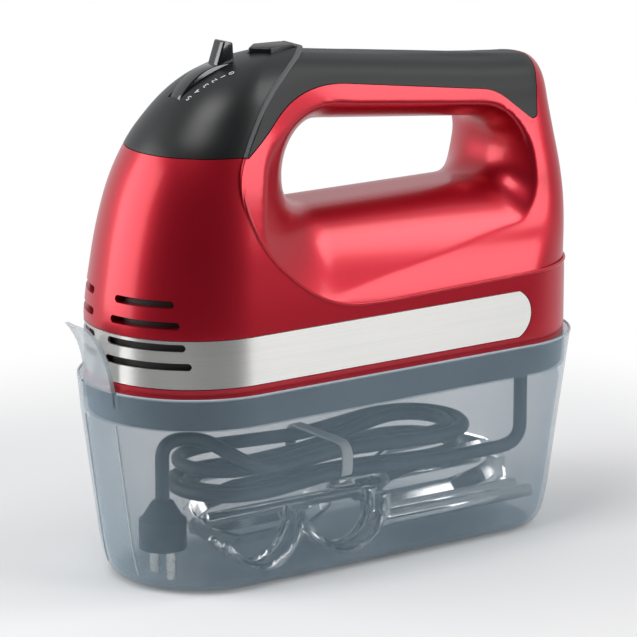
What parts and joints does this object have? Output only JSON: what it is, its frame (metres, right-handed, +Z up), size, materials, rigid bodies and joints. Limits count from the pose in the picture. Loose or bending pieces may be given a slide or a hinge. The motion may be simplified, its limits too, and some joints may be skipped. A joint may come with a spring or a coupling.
{
  "type": "hand mixer in storage case",
  "caption": "Hand mixer with a loop handle, speed dial and eject button, resting in a push-on clear storage case that holds beaters, dough hooks and the wound cord.",
  "frame": {"origin": "on the table under the middle of the case's floor", "axes": "+Z up, -X towards the mixer's nose, -Y towards the side seen in the picture"},
  "size_m": [0.2259, 0.0932, 0.2126],
  "materials": {
    "red_body": "metallic red paint under clear lacquer",
    "black_cover": "fine satin grain",
    "soft_grip": "soft matt",
    "steel_band": "brushed along its length",
    "control_black": "polished",
    "inner_plastic": "plain moulded",
    "dark_plastic": "plain moulded",
    "gear_plastic": "plain moulded",
    "steel": "turned",
    "iron": "stamped sheets",
    "copper": "wound or turned",
    "carbon": "pressed carbon",
    "chrome_tools": "bright plated",
    "case_clear": "translucent, faintly frosted",
    "cord_dark": "smooth matt",
    "plug_dark": "moulded",
    "pin_metal": "plated"
  },
  "bodies": {
    "case": {"storage_case": "case_clear", "beater_1": "chrome_tools", "beater_2": "chrome_tools", "dough_hook_1": "chrome_tools", "dough_hook_2": "chrome_tools", "cord_stretch": "cord_dark", "cord_hank": "cord_dark", "plug": "plug_dark", "left_plug_pin": "pin_metal", "right_plug_pin": "pin_metal"},
    "mixer": {"upper_housing": "red_body", "lower_housing": "red_body", "handle_grip": "soft_grip", "control_cover": "black_cover", "trim_band": "steel_band", "dial_axle": "steel", "switch_block": "dark_plastic", "drive_frame": "inner_plastic", "field_core": "iron", "upper_field_coil": "copper", "lower_field_coil": "copper", "brush_plate": "dark_plastic", "left_brush_holder": "copper", "right_brush_holder": "copper", "left_brush": "carbon", "right_brush": "carbon", "rear_bearing": "dark_plastic", "strain_relief": "cord_dark", "housing_screw_1": "steel", "housing_screw_2": "steel", "housing_screw_3": "steel", "housing_screw_4": "steel", "eject_spring": "steel"},
    "armature": {"armature_shaft": "steel", "armature_core": "iron", "commutator": "copper", "cooling_fan": "inner_plastic"},
    "left_drive": {"left_spindle": "steel", "left_worm_wheel": "gear_plastic"},
    "right_drive": {"right_spindle": "steel", "right_worm_wheel": "gear_plastic"},
    "dial": {"speed_dial": "control_black"},
    "eject": {"eject_button": "control_black", "eject_fork": "inner_plastic"}
  },
  "joints": [
    {"name": "mixer_lift", "type": "slide", "parent": "case", "child": "mixer", "axis": [0, 0, 1], "range_m": [0, 0.06], "deforming": ["cord_stretch"]},
    {"name": "armature_spin", "type": "hinge", "parent": "mixer", "child": "armature", "pos_m": [0, 0, 0.095], "axis": [1, 0, 0], "continuous": true},
    {"name": "left_spindle_spin", "type": "hinge", "parent": "mixer", "child": "left_drive", "pos_m": [-0.052, -0.021, 0.095], "axis": [0, 0, 1], "continuous": true},
    {"name": "right_spindle_spin", "type": "hinge", "parent": "mixer", "child": "right_drive", "pos_m": [-0.052, 0.021, 0.095], "axis": [0, 0, 1], "continuous": true},
    {"name": "dial_turn", "type": "hinge", "parent": "mixer", "child": "dial", "pos_m": [-0.0467, 0, 0.178], "axis": [0, -1, 0], "range_deg": [0, 45]},
    {"name": "eject_press", "type": "slide", "parent": "mixer", "child": "eject", "axis": [0, 0, -1], "range_m": [0, 0.003], "stiffness_N_per_m": 900, "springref_m": -0.003, "deforming": ["eject_spring"]}
  ],
  "couplings": [
    {"joint": "left_spindle_spin", "follows": "armature_spin", "ratio": 0.045455},
    {"joint": "right_spindle_spin", "follows": "armature_spin", "ratio": -0.045455}
  ]
}
